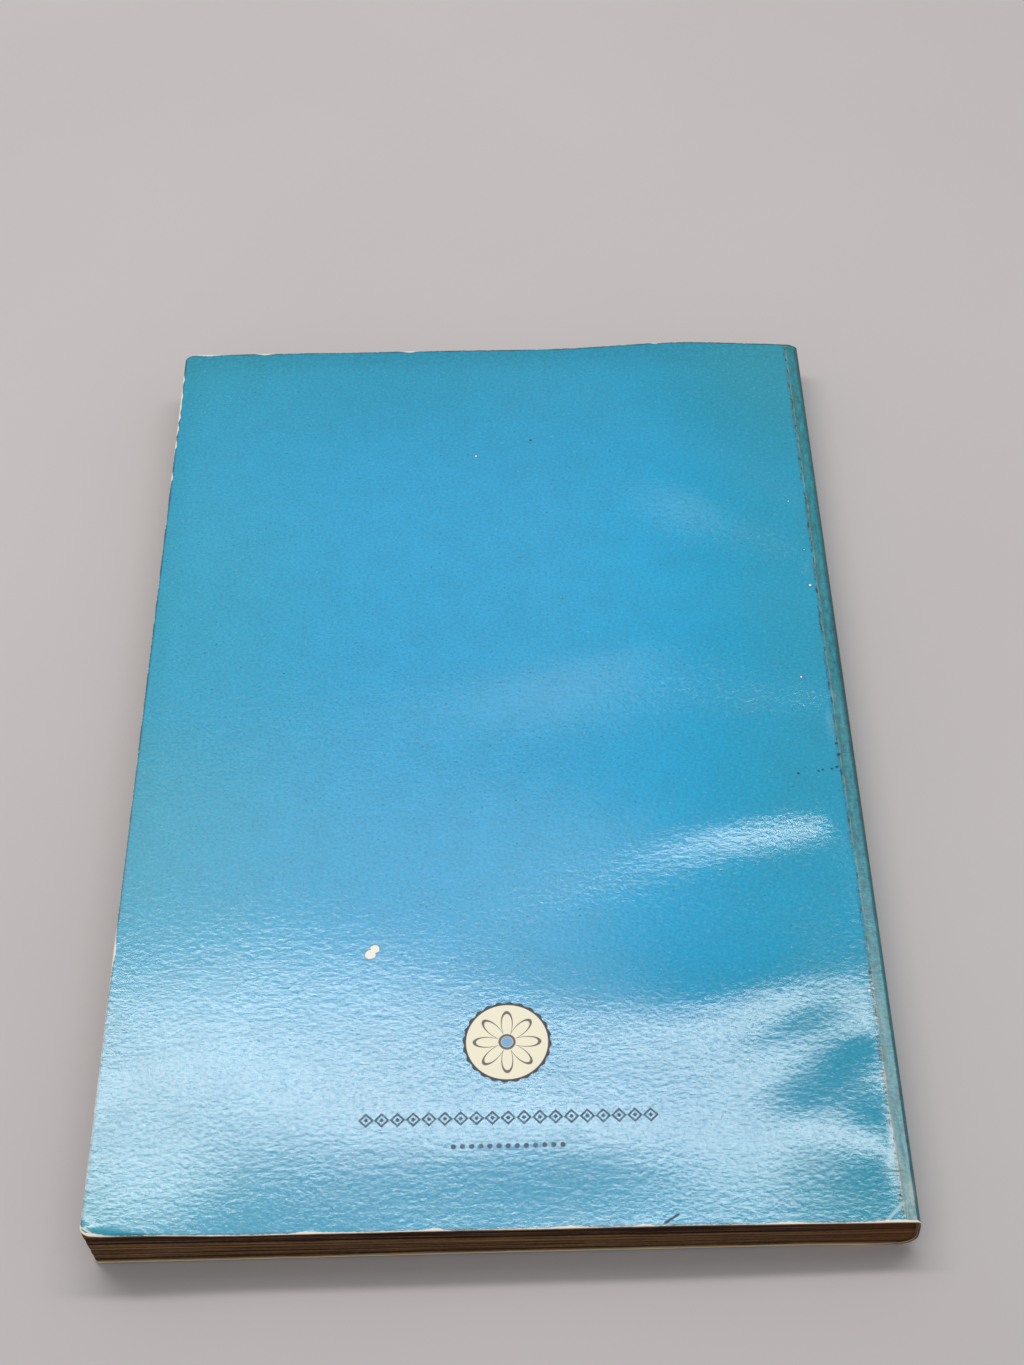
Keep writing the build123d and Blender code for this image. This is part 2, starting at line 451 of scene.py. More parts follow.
def at_hinge(x):
    """A share that fades out past the hinge, on the strip that is glued down, before the upper bend."""
    return 1 - ramp(x, BACK_HINGE_X, BACK_HINGE_X + BACK_STRIP)


def ripples(x, y):
    """The small waves of the list, added up."""
    total = 0 * x
    for wave_x, wave_y, length, width, rise, slope in WAVES:
        across = y - wave_y - rise * (x - wave_x)
        total = total + slope * across * bell(across, width) * bell(x - wave_x, length)
    return total


def back_waves(x, y):
    """Everything that lifts or sinks the back cover from its plane. At the hinge, half the card's thickness
    is the most, up or down, so that the strip doesn't show through the cover when that lies open on it. The
    hyperbolic tangent bends the heights towards that limit without a step."""
    bends = corner_lift(x, y) + corner_roll(x, y) + tail_sway(x, y) + head_rise(x, y)
    height = (bends + ripples(x, y)) * at_hinge(x)
    near = ramp(x, BACK_HINGE_X - 2, BACK_HINGE_X - 0.1)
    return height + near * (MOST_AT_HINGE * np.tanh(height / MOST_AT_HINGE) - height)


print(len(WAVES), "small waves shape the back cover")

# %% [markdown]
# The upper page touches the cover, so it takes the cover's bends, and at its very rim the small waves too.
# The front cover has a bend of its own: its tail edge curls up from the table, with a thin line of shadow
# under it.

# %% Bends of the first page and of the front cover
PAGE_SHARE = 0.35
PAGE_SINK = 0.6
# The curl of the front cover: its rise all along, more in its middle, x and half width of that, and its fade
FRONT_CURL, MIDDLE_CURL, MIDDLE_X, MIDDLE_HALF, FRONT_FADE = 0.46, 0.14, -2, 14, 8


def leaf_waves(x, y, closing):
    """The upper page follows the cover at its rim. Further in it lies a little lower, without ripples."""
    lifted = PAGE_SHARE * (corner_lift(x, y) + head_rise(x, y))
    bends = lifted + corner_roll(x, y) + tail_sway(x, y)
    ripple_share = 1 - ramp(closing, 0, 0.05)
    sink = PAGE_SINK * ramp(closing, 0.008, 0.09)
    return (bends + ripples(x, y) * ripple_share) * at_hinge(x) - sink


def front_waves(x, y):
    """The front cover's tail edge curls up a little from the table, most in its middle."""
    height = (FRONT_CURL + MIDDLE_CURL * bell(x - MIDDLE_X, MIDDLE_HALF)) * (1 - ramp(x, 38, 49))
    return height * np.exp(-(y + HALF_HEIGHT) / FRONT_FADE)


print("The front cover curls up by", round(FRONT_CURL + MIDDLE_CURL, 2), "mm at most")

# %% [markdown]
# Every piece is made of grids of points, and quads join neighbouring points. The order of a quad's corners
# decides which way it faces. One function turns points, faces and values into a mesh. Whole arrays go into
# it at once, which is quicker than point by point, and edges sharper than 50 degrees stay sharp.

# %% Meshes from grids
SHARP_ANGLE = 50


def grid_faces(rows, columns, closed=False):
    """Quads between neighbouring points of a grid. They face outwards where rows crossed with columns do."""
    index = np.arange(rows * columns).reshape(rows, columns)
    if closed:
        index = np.concatenate([index, index[:, :1]], axis=1)
    quads = [index[:-1, :-1], index[1:, :-1], index[1:, 1:], index[:-1, 1:]]
    return np.stack(quads, axis=-1).reshape(-1, 4)


def rim_walls(rows, columns):
    """Quads that join the rim of a grid to the rim of its twin, whose points follow it in the list."""
    index = np.arange(rows * columns).reshape(rows, columns)
    rim = np.concatenate([index[:, 0], index[-1, 1:], index[-2::-1, -1], index[0, -2:0:-1]])
    after = np.roll(rim, -1)
    return np.stack([rim, rim + rows * columns, after + rows * columns, after], axis=-1)


def make_piece(name, points, faces, skins, skin_of_face, values, sheet_map=None):
    """A mesh object from points in millimetres, with one number per point for each named value."""
    mesh = bpy.data.meshes.new(name)
    mesh.from_pydata((points * MM).tolist(), [], faces)
    for skin in skins:
        mesh.materials.append(skin)
    mesh.polygons.foreach_set("material_index", skin_of_face)
    for key, value in values.items():
        layer = mesh.attributes.new(key, "FLOAT", "POINT")
        layer.data.foreach_set("value", value.astype(np.float32))
    if sheet_map is not None:
        corner = np.zeros(len(mesh.loops), int)
        mesh.loops.foreach_get("vertex_index", corner)
        layer = mesh.uv_layers.new(name="sheet")
        layer.data.foreach_set("uv", sheet_map[corner].astype(np.float32).ravel())
    mesh.shade_smooth()
    mesh.set_sharp_from_angle(angle=math.radians(SHARP_ANGLE))
    mesh.validate()
    made = bpy.data.objects.new(name, mesh)
    bpy.context.scene.collection.objects.link(made)
    print(name, "has", len(mesh.polygons), "faces")
    return made


print("A grid of 3 by 4 points has", len(grid_faces(3, 4)), "faces and", len(rim_walls(3, 4)), "walls")

# %% [markdown]
# A sheet of card is a closed shell: the printed face, the inner face turned over, and a narrow wall all
# round, which is the cut edge. Each face is a grid of lengths along the card by heights of the book. The
# rows lie close together where the card turns at the hinge and round the bends, and the columns close
# together at the ends, where the wear is. The rows near a fore edge are shorter by a circle's rule, which
# makes the worn round corners.

# %% Shell of card
NEAR_EDGE = np.array([0, 0.03, 0.1, 0.2, 0.34, 0.5, 0.7, 0.95, 1.25, 1.6, 2.0, 2.5, 3.1, 3.8])
PLAIN_START = 4.6
HEIGHT = 2 * HALF_HEIGHT
plain_columns = np.linspace(PLAIN_START, HEIGHT - PLAIN_START, 181)
share_of_height = np.concatenate([NEAR_EDGE, plain_columns, HEIGHT - NEAR_EDGE[::-1]]) / HEIGHT


def corner_cut(distance, radius):
    """What a round corner takes off a row: its radius less a circle's height that far from the edge."""
    inside = np.clip(radius - distance, 0, radius)
    return radius - np.sqrt(radius**2 - inside**2)


def card_shell(lengths, waves, tail_cut, head_cut):
    """Outer and inner grids of points, and the height and the distance from the cut edge of each point."""
    low = -HALF_HEIGHT + tail_cut
    high = HALF_HEIGHT - head_cut
    y = low[:, None] + (high - low)[:, None] * share_of_height[None, :]
    faces = []
    for points in (outer_profile, inner_profile):
        place = on_profile(lengths, points)
        x = np.broadcast_to(place[:, :1], y.shape)
        faces.append(np.stack([x, y, place[:, 1:] + waves(x, y)], axis=-1))
    edge = np.minimum(y - low[:, None], high[:, None] - y)
    return faces, y, edge


print("Each row of card has", len(share_of_height), "points from tail to head")

# %% [markdown]
# The sheets are printed card, and their finish follows the sheet: the piece's own map holds the length along
# the card and the height of the book, a hundred millimetres to the unit, so nothing slides when a cover is
# opened. Five values per point go with it: the distance from the cut edge, the width of the worn rim there,
# the distance past the crease beside the spine, how much the place is darkened, and how much yellowed.

# %% Values that the card's finish reads
# Where the crease lies, as a distance from the fore edge, for heights above the tail edge
CREASE_HEIGHTS = [0, 6, 17, 40, 70, 92, 108, 130, 162]
CREASE_PLACES = [105.9, 105.8, 105.7, 105.9, 105.7, 105.6, 105.75, 105.85, 105.7]
# Chips in the rim, as place and half width: by x at the tail and at the head, by y at the fore edge
TAIL_CHIPS = [(-52.6, 1.3), (-24.9, 1.2), (-8.4, 0.9), (8.9, 1.4), (18.5, 0.6), (37.0, 1.5), (51.0, 2.2)]
HEAD_CHIPS = [(-50.2, 1.4), (-40.1, 0.9), (-14.6, 0.8), (29.0, 0.3)]
FORE_CHIPS = [(74.8, 0.4), (70.6, 0.8), (68.0, 0.8), (65.7, 0.6)]
FORE_CHIPS += [(62.6, 0.7), (59.1, 0.5), (51.5, 0.5), (-39.5, 1.3)]
CHIP_DEPTH = 0.28
PLAIN_WEAR = 0.01


def worn_width(x, y):
    """Width of the worn rim: a thin line at the tail edge, next to nothing elsewhere, more at the chips."""
    fore_side = (1 - ramp(x, -53.85, -53.3)) * ramp(y, -80.2, -79.2)
    at_tail = ramp(-y, 70, 78) * (1 - fore_side)
    at_head = ramp(y, 70, 78)
    at_fore = 1 - ramp(x, -53, -50)
    width = PLAIN_WEAR + (0.07 + 0.04 * np.sin(x / 5.3 + 1.7 * np.sin(x / 9.1))) * at_tail
    sides = ((TAIL_CHIPS, x, at_tail), (HEAD_CHIPS, x, at_head), (FORE_CHIPS, y, at_fore))
    for chips, place, share_there in sides:
        for middle, half in chips:
            width = width + CHIP_DEPTH * bell(place - middle, half) * share_there
    return width


def darkening(x, y):
    """Darker at the head, the tail, the rim and the side by the spine than in the middle. At the tail it
    dulls the ink under the lamp's reflection.
    """
    head = 0.7 * ramp(y, 25, 82) ** 1.5
    spine = 0.48 * ramp(x, 20, 50)
    rim = 0.3 * (1 - ramp(HALF_HEIGHT - y, 0, 6)) + 0.3 * (1 - ramp(x, -54, -49))
    tail = 0.9 * ramp(-y, 34, 60) * (1 - 0.4 * ramp(-y, 66, 80))
    return np.clip(head + spine + rim + tail, 0, 1.6)


def ageing(x, y):
    """Light and air have yellowed the varnish, most at the fore edge and a little at the other rims."""
    fore = 0.25 * (1 - ramp(x, -56, -12)) * (1 - 0.5 * ramp(-y, 30, 60)) * (1 - 0.6 * ramp(y, 20, 75))
    tail = (0.08 + 0.12 * (1 - ramp(x, -50, -30))) * ramp(-y, 64, 80)
    spine = 0.14 * ramp(x, 24, 50)
    head = 0.12 * ramp(y, 50, 81)
    return np.clip(fore + tail + spine + head, 0, 0.8)


chip_count = len(TAIL_CHIPS) + len(HEAD_CHIPS) + len(FORE_CHIPS)
print("The rim of the back cover has", chip_count, "chips")

# %% [markdown]
# The finish of the wrapper is ink under varnish, on card. What the eye gets is a bright, slightly uneven
# blue, with less red in it towards the spine, darker at the head, the tail, the rims and by the spine, and
# greener where it has yellowed. Over that lie a mottle, a light and dark grain that is painted light and
# shade of the pebbled skin, and rare specks. The noises have the real sizes of such marks: blotches of 30 mm
# and 5 mm, fibres of about a millimetre and a grain of half of one.

# %% Ink of the printed card
SHEET_UNIT = 100
varnished_card, tree, shader = start_material("varnished_printed_card", IOR=1.6)


def sheet_place(tree):
    """The place on the flat sheet, in millimetres, from the piece's own map."""
    unit = (SHEET_UNIT, SHEET_UNIT, 0)
    return add(tree, "VectorMath", [add(tree, "UVMap", uv_map="sheet"), unit], operation="MULTIPLY")


sheet = sheet_place(tree)
sheet_x, sheet_y = [add(tree, "SeparateXYZ", [sheet], axis) for axis in "XY"]
names = ("edge", "worn", "crease", "darkness", "age")
edge, worn, crease, darkness, age = [add(tree, "Attribute", output="Fac", attribute_name=name) for name in names]

clouds = noise(tree, sheet, 30, detail=3)
mottle = noise(tree, sheet, 5, detail=4)
fibres = noise(tree, sheet, 0.9, detail=3)
grain = noise(tree, sheet, 0.5, 0.4, 2, 0.7)
specks = noise(tree, sheet, 0.42, 0.36, 0)
uneven = mask(tree, (clouds, 0.3, 0.7, 0.8, 1.2))
ink = glaze(
    tree,
    "#36AFE0",
    ("#00AFE0", (sheet_x, 62, 90, 0, 0.9)),
    # Darker at the head, the tail, the rims and by the spine, and duller under the lamp's reflection at the
    # tail
    ("#0C96BE", darkness, uneven),
    ("#48A67C", age, uneven),
    ("#2787A6", (mottle, 0.35, 0.75, 0, 0.2)),
    # The grain's lighter and darker ink is painted light and shade of the pebbled skin
    ("#1B6F8E", (grain, 0.45, 0.75, 0, 0.4)),
    ("#43BDEA", (grain, 0.45, 0.25, 0, 0.4)),
    ("#1D4650", (specks, 0.79, 0.86, 0, 0.7)),
    ("#BFE2E6", (specks, 0.19, 0.13, 0, 0.3)),
    ("#1D5A6C", (sheet_y, 74, 81, 0, 0.24), (fibres, 0.4, 0.6)),
)
print("The plain ink takes", len(tree.nodes), "nodes")

# %% [markdown]
# The strip past the crease, which is glued down, has been handled most. It is soiled to a greyish teal, with
# brown and pale smudges that run along the spine, rubbed grey at the tail. The upper bend and the spine under
# it are painted dark: partly soot, and partly painted shade on the side that turns away from the lamp. The
# distance past the crease says where each of these lies.

# %% Soiled strip beside the spine
streaks = noise(tree, sheet, 0.6, 2.6, 4, 0.65)
smudges = noise(tree, sheet, 0.5, 1.3, 3, 0.7)
on_strip = add(tree, "MapRange", [crease, -0.1, 0.15], interpolation_type="SMOOTHSTEP")
strip_share = mask(tree, on_strip, (crease, 3.0, 4.5, 0.85, 0.3))
ink = glaze(
    tree,
    ink,
    (glaze(tree, "#006E80", ("#20939B", (streaks, 0.36, 0.64))), strip_share),
    ("#34443A", strip_share, (smudges, 0.5, 0.64, 0, 0.6)),
    ("#7FB4AE", strip_share, (smudges, 0.4, 0.28, 0, 0.4)),
    ("#A5AF9F", on_strip, (sheet_y, -68, -79, 0, 0.6), (streaks, 0.42, 0.6)),
    # Soot and painted shade on the upper bend and down the spine's side
    ("#17302F", (crease, 1.2, 1.95, 0, 0.92), (crease, 2.8, 4.2, 1, 0.35), (sheet_y, -60, 10, 0.72, 0.95)),
)
print("With the strip it takes", len(tree.nodes), "nodes")

# %% [markdown]
# The crease itself is a thin, slightly wandering line where the ink has cracked: bared card in dashes, brown
# smears on both sides of it, and beads of soot a quarter of a millimetre beside it. A thin dark line is also
# painted along the cut rim, partly grime and partly painted shade at the card's edge.

# %% Crease and rim
SOOT_BESIDE = 0.24
wander = mask(tree, (mottle, 0.2, 0.8, 0.12, -0.12))
off_line = away(tree, crease, wander)
beside_line = away(tree, crease, add(tree, "Math", [wander, SOOT_BESIDE], operation="SUBTRACT"))
smears = noise(tree, sheet, 0.9, 5, 3, 0.6)
dashes = noise(tree, sheet, 0.3, 1.6)
beads = noise(tree, sheet, 0.5, 1.7, 3, 0.7)
ink = glaze(
    tree,
    ink,
    ("#47604F", (off_line, 0.1, 0.75, 1, 0), (smears, 0.36, 0.6, 0, 0.6)),
    ("#A19C7E", (off_line, 0.04, 0.15, 1, 0), (dashes, 0.4, 0.62, 0.05, 0.7)),
    ("#14221F", (beside_line, 0.1, 0.32, 1, 0), (beads, 0.5, 0.62, 0, 0.85)),
    # Grime and painted shade in a thin line along the cut rim
    ("#24474F", (edge, 0.05, 0.42, 0.95, 0), (mottle, 0.3, 0.6, 0.5, 1)),
)
print("With the crease it takes", len(tree.nodes), "nodes")

# %% [markdown]
# The print near the tail is a plain seal and two rules of ornament. The seal is drawn with distance and
# angle from its centre. The distance is cut into a cream disc, a dark rim and nothing beyond, and a small
# wave on the angle scallops the rim. The rosette's petals are the places where the distance is near a wave
# of the angle: a cosine without its sign has two lobes per turn.

# %% Printed seal
PRINT = "#3F3A40"
SEAL = (55.12, -54.46, 0)
SEAL_RADIUS, DISC_RADIUS, RING_RADIUS, EYE_RADIUS = 5.97, 5.57, 1.0, 0.77
SOFT = 0.05
TEETH, TOOTH_HEIGHT = 24, 0.11
PETALS, PETAL_START, PETAL_LENGTH = 8, 1.35, 3.1
from_seal = add(tree, "VectorMath", [sheet, SEAL], operation="SUBTRACT")
radius = add(tree, "VectorMath", [from_seal], operation="LENGTH")
seal_x, seal_y = [add(tree, "SeparateXYZ", [from_seal], axis) for axis in "XY"]
angle = add(tree, "Math", [seal_y, seal_x], operation="ARCTAN2")
tooth = add(tree, "Math", [add(tree, "Math", [angle, TEETH], operation="MULTIPLY")], operation="SINE")
scallops = add(tree, "Math", [tooth, TOOTH_HEIGHT, radius], operation="MULTIPLY_ADD")
lobe = add(tree, "Math", [add(tree, "Math", [angle, PETALS / 2], operation="MULTIPLY")], operation="COSINE")
lobe = add(tree, "Math", [lobe], operation="ABSOLUTE")
petals = add(tree, "Math", [lobe, -PETAL_LENGTH, radius], operation="MULTIPLY_ADD")
petals = away(tree, petals, PETAL_START)
ring_line = away(tree, radius, RING_RADIUS)
seal_share = mask(tree, (scallops, SEAL_RADIUS - SOFT, SEAL_RADIUS + SOFT, 1, 0))
disc_share = mask(tree, (radius, DISC_RADIUS - SOFT, DISC_RADIUS + SOFT, 1, 0))
rosette = strongest(tree, (petals, 0.16, 0.3, 0.9, 0), (ring_line, 0.13, 0.23, 0.9, 0))
ink = glaze(
    tree,
    ink,
    (PRINT, seal_share),
    ("#FFF6DA", disc_share),
    (PRINT, rosette, disc_share),
    ("#7FB4DC", (radius, EYE_RADIUS - SOFT, EYE_RADIUS + SOFT, 1, 0)),
)
print("The seal is", 2 * SEAL_RADIUS, "mm wide")

# %% [markdown]
# The rules under the seal are a chain of open lozenges with a dot in each, and a short row of dots. Folding
# the place to and fro along the rule repeats one figure without a loop, and the sum of both distances from
# the figure's middle is a lozenge.

# %% Printed rules
# The chain: its middle, half a link's pitch, the chain's half length and a lozenge's half width
RULE_X, RULE_Y, LINK, RULE_HALF, LOZENGE = 55.15, -65.6, 1.05, 19.95, 0.86
# The row of dots: its middle, half the dots' pitch, the row's half length and a dot's radius
DOTS_X, DOTS_Y, DOT_GAP, DOTS_HALF, DOT = 55.1, -69.6, 0.6, 7.75, 0.35
rule_x = away(tree, sheet_x, RULE_X)
link_x = add(tree, "Math", [rule_x, LINK], operation="PINGPONG")
lozenge = add(tree, "Math", [link_x, away(tree, sheet_y, RULE_Y)], operation="ADD")
chain = strongest(tree, (away(tree, lozenge, LOZENGE), 0.14, 0.24, 1, 0), (lozenge, 0.3, 0.38, 1, 0))
chain = mask(tree, chain, add(tree, "Math", [rule_x, RULE_HALF], operation="LESS_THAN"))
dots_x = away(tree, sheet_x, DOTS_X)
dot_x = add(tree, "Math", [dots_x, DOT_GAP], operation="PINGPONG")
from_dot = add(tree, "CombineXYZ", [dot_x, away(tree, sheet_y, DOTS_Y)])
from_dot = add(tree, "VectorMath", [from_dot], operation="LENGTH")
dots = mask(tree, (from_dot, DOT - SOFT, DOT + SOFT, 1, 0))
dots = mask(tree, dots, add(tree, "Math", [dots_x, DOTS_HALF], operation="LESS_THAN"))
rules = mask(tree, strongest(tree, chain, dots), (fibres, 0.3, 0.55, 0.5, 0.85))
ink = glaze(tree, ink, (PRINT, rules))
printed = strongest(tree, rules, seal_share)
print("The chain is", 2 * RULE_HALF, "mm long and the row of dots", 2 * DOTS_HALF, "mm")

# %% [markdown]
# Single marks are listed with their places, as measured in the photograph. A chip, a few pale points and the
# spots of soot are round with a ragged outline, and each scratch is a short line that is turned to lie
# along X, so that the distances beside and along it are plain differences.

# %% Marks on the cover
# Each chip: its place on the sheet and its radius
CHIPS = [
    ((36.1, -40.5, 0), 0.7),
    ((36.75, -39.65, 0), 0.58),
    ((51.1, 55.3, 0), 0.14),
    ((104.6, 25.8, 0), 0.12),
    ((102.7, 43.3, 0), 0.07),
    ((104.3, 33.0, 0), 0.06),
    ((101.2, 6.9, 0), 0.08),
    ((105.2, -47.5, 0), 0.13),
]
# Each spot of soot, in the same way
SPOTS = [
    ((99.0, -11.0, 0), 0.15),
    ((102.1, -10.6, 0), 0.22),
    ((102.7, -10.4, 0), 0.14),
    ((104.1, -10.2, 0), 0.15),
    ((104.9, -9.9, 0), 0.22),
    ((60.4, 58.6, 0), 0.16),
    ((105.3, -5.5, 0), 0.2),
    ((105.4, -7.6, 0), 0.24),
]
# Each scratch or painted line of shade: its two ends on the sheet, half width, colour and strength
SCRATCHES_AND_SHADE_LINES = [
    ((74.9, -80.7), (77.0, -79.4), 0.16, "#24383E", 0.95),
    ((103.6, -80.6), (105.9, -78.3), 0.18, "#C0DCDD", 0.65),
    ((103.0, -74.2), (106.6, -74.0), 0.12, "#4E7274", 0.6),
    # A dark blue line of painted shade, where the edge beside the folded tip rolls down away from the lamp
    ((0.5, -80.6), (1.9, -81.0), 0.4, "#1E5A72", 0.8),
    ((0.0, -79.8), (2.5, -81.1), 0.12, "#EFE2C6", 0.9),
]
RAGGED = 0.2
ragged = mask(tree, (fibres, 0, 1, -RAGGED, RAGGED))


def from_spot(centre):
    """The distance from a spot on the sheet, made ragged by the fibres."""
    distance = add(tree, "VectorMath", [sheet, centre], operation="DISTANCE")
    return add(tree, "Math", [distance, ragged], operation="ADD")


def line_share(start, end, half, strength):
    """How strongly a scratch or a painted line of shade marks a place, from its distance beside and along its
    own line.
    """
    middle = ((start[0] + end[0]) / 2, (start[1] + end[1]) / 2, 0)
    slant = math.atan2(end[1] - start[1], end[0] - start[0])
    length = math.dist(start, end)
    turning = {"Vector": sheet, "Center": middle, "Angle": -slant}
    turned = add(tree, "VectorRotate", turning, rotation_type="Z_AXIS")
    along, beside = [
        away(tree, add(tree, "SeparateXYZ", [turned], axis), at) for axis, at in zip("XY", middle)
    ]
    beside = add(tree, "Math", [ragged, 0.5, beside], operation="MULTIPLY_ADD")
    width = (beside, half * 0.4, half * 1.6, strength, 0)
    return mask(tree, width, (along, length * 0.4, length * 0.55, 1, 0))


print(len(CHIPS), "chips,", len(SPOTS), "spots and", len(SCRATCHES_AND_SHADE_LINES), "scratches mark the cover")

# %% [markdown]
# Wear comes last, on top of the print. The rim is bare card where the distance from the cut edge is less
# than the worn width there, and the mottle and the grain make that line waver. A chip has a dark rim of its
# own, where the ink has lifted.

# %% Wear of the printed card
CREAM = "#FFFBEF"
RIM_SWING = 0.14
for centre, size in SPOTS:
    ink = glaze(tree, ink, ("#16262A", (from_spot(centre), size * 0.6, size + 0.12, 0.9, 0)))
rim = add(tree, "Math", [edge, worn], operation="SUBTRACT")
for unevenness in (mottle, grain):
    swing = mask(tree, (unevenness, 0, 1, -RIM_SWING, RIM_SWING))
    rim = add(tree, "Math", [rim, swing], operation="ADD")
bare = mask(tree, (rim, -0.05, 0.05, 1, 0))
for centre, size in CHIPS:
    gap = from_spot(centre)
    bare = strongest(tree, bare, (gap, size, size + 0.1, 1, 0))
    ink = glaze(tree, ink, ("#235064", (gap, size + 0.12, size + 0.3, 0.6, 0)))
# Scratches, and one painted line of shade beside the folded tip of the corner
for start, end, half, tint, strength in SCRATCHES_AND_SHADE_LINES:
    line_mark = line_share(start, end, half, strength)
    ink = glaze(tree, ink, (tint, line_mark))
    printed = strongest(tree, printed, line_mark)
ink = glaze(tree, ink, (glaze(tree, CREAM, ("#B8986C", (edge, 0.4, 0.05, 0, 0.35))), bare))
print("With its wear the card takes", len(tree.nodes), "nodes")

# %% [markdown]
# The varnish gives a gloss that is blurred, because it has taken on the card's pebbled skin. The skin's
# cells are about 1 by 0.7 mm, over broader ones of 3.6 by 1.9 mm, and stand up by a few hundredths of a
# millimetre. Bare card and ink that lies on top don't shine, and the soiled strip shines less, so the shares
# that show them also make the surface rough.

# %% Gloss of the printed card
DULL = 0.6
PEBBLE_HEIGHT = 0.027
flecks = noise(tree, sheet, 0.8, 0.6, 3, 0.7)
plain_gloss = mask(tree, (mottle, 0.3, 0.7, 0.09, 0.12))
gloss = add(tree, "Math", [plain_gloss, mask(tree, (flecks, 0.52, 0.7, 0, 0.13))], operation="ADD")
dull_share = strongest(tree, bare, (strip_share, 0, 1, 0, 0.35), printed)
gloss = add(tree, "Mix", {"Factor": dull_share, "A": gloss, "B": DULL})
pebbles = noise(tree, sheet, 0.95, 0.7, 3, 0.6)
pebbles = add(tree, "Math", [noise(tree, sheet, 3.6, 1.9, 1), 0.5, pebbles], operation="MULTIPLY_ADD")
skin = add(tree, "Bump", {"Height": pebbles, "Strength": 1, "Distance": PEBBLE_HEIGHT * MM})
finish_with(tree, shader, ink, gloss, skin)

# %% [markdown]
# The inner side of the card was never coated: it is matt pulp board with fine fibres, cream in its middle and
# browned over the last 14 mm. On the back cover and the spine, whose lengths along the sheet are less than
# 118 mm, a pale line a tenth of a millimetre wide follows the rim, and all that lies within it is painted
# dark brown, as painted shade and grime. That painted shade belongs in the narrow gap under the rim alone,
# but hides the cream of the whole face when the cover is opened. A second limit, about a millimetre from the
# rim, would keep it there. On the front cover the cream stays.

# %% Finish of the bare card
BACK_END, FRONT_START = 118, 121
bare_card, tree, shader = start_material("uncoated_pulp_board", Roughness=0.85, IOR=1.45)
sheet = sheet_place(tree)
edge = add(tree, "Attribute", output="Fac", attribute_name="edge")
patches = noise(tree, sheet, 8, detail=5)
fibres = noise(tree, sheet, 0.6, detail=3)
on_back = mask(tree, (add(tree, "SeparateXYZ", [sheet], "X"), BACK_END, FRONT_START, 1, 0))
pulp = glaze(
    tree,
    "#DDD0AE",
    ("#B38C58", (edge, 0, 14, 1, 0), patches),
    ("#EFC898", (edge, 0.1, 0.2, 0.85, 0), on_back),
    # Painted shade and grime for the gap under the rim, with no inner limit
    ("#4A3520", (edge, 0.1, 0.22, 0, 0.85), on_back),
)
fuzz = add(tree, "Bump", {"Height": fibres, "Strength": 0.4, "Distance": 0.04 * MM})
finish_with(tree, shader, pulp, None, fuzz)

# %% [markdown]
# The cut edge shows the same pulp, browned by dust but for clean fibres of about a millimetre, in patches of
# eight. It is dark brown round the spine and brown where the rim is worn. Where the rim isn't worn it is dark
# blue-grey, partly ink and grime and partly painted shade on the edge. The front cover's edge, under the
# leaves, is a pale tan, partly its own colour and partly painted light, brighter than that edge in the book's
# shadow would be.

# %% Finish of the cut edge
cut_card, tree, shader = start_material("cut_edge_of_card", Roughness=0.8, IOR=1.45)
place = object_place(tree)
names = ("crease", "worn")
crease, worn = [add(tree, "Attribute", output="Fac", attribute_name=name) for name in names]
clean = mask(tree, noise(tree, place, 1.11, detail=3), noise(tree, place, 8.33, detail=3))
pulp = glaze(
    tree,
    "#7E5A36",
    ("#D2B48A", (clean, 0.15, 0.4)),
    ("#40301E", (crease, 1.2, 3.0, 0, 0.8)),
    # Dark blue-grey where the rim isn't worn: ink and grime, and painted shade on the edge
    ("#2A4148", (worn, 0.02, 0.08, 0.85, 0)),
    # The front cover's edge made paler: partly its own tan, partly painted light
    ("#FFDCAA", (add(tree, "SeparateXYZ", [sheet_place(tree)], "X"), BACK_END, FRONT_START, 0, 0.9)),
)
finish_with(tree, shader, pulp)

# %% [markdown]
# Both pieces of the wrapper are made by one function: the printed face, its twin turned over and the walls
# between them, each with its own finish. The crease beside the spine wanders by a fraction of a millimetre,
# so the distance past it is reckoned from the short table of heights and places.

# %% Piece of the wrapper
NO_CREASE = -20.0
card_skins = [varnished_card, bare_card, cut_card]


def card_piece(name, lengths, waves, tail_cut, head_cut, fore_distance, has_crease):
    """A card shell with its map and its values. Its fore edge counts as a cut edge, its other end doesn't."""
    (outer, inner), y, edge = card_shell(lengths, waves, tail_cut, head_cut)
    rows, columns = y.shape
    x = outer[:, :, 0]
    along = np.broadcast_to(lengths[:, None], y.shape)
    past_crease = along - np.interp(y + HALF_HEIGHT, CREASE_HEIGHTS, CREASE_PLACES)
    values = {
        "edge": np.minimum(edge, fore_distance[:, None]),
        "worn": worn_width(x, y),
        "crease": past_crease if has_crease else np.full(y.shape, NO_CREASE),
        "darkness": darkening(x, y),
        "age": ageing(x, y),
    }
    sheet_map = np.stack([along, y], axis=-1).reshape(-1, 2) / SHEET_UNIT
    points = np.concatenate([outer.reshape(-1, 3), inner.reshape(-1, 3)])
    printed = grid_faces(rows, columns)
    plain = printed[:, ::-1] + rows * columns
    walls = rim_walls(rows, columns)
    return make_piece(
        name,
        points,
        np.concatenate([printed, plain, walls]).tolist(),
        card_skins,
        np.repeat([0, 1, 2], [len(printed), len(plain), len(walls)]).astype(np.int32),
        {key: np.tile(value.ravel(), 2) for key, value in values.items()},
        np.tile(sheet_map, (2, 1)),
    )


print("The finishes of the wrapper are", ", ".join(skin.name for skin in card_skins))

# %% [markdown]
# The first piece is the back cover with the spine wrap, from the fore edge over the hinge and round the
# spine.

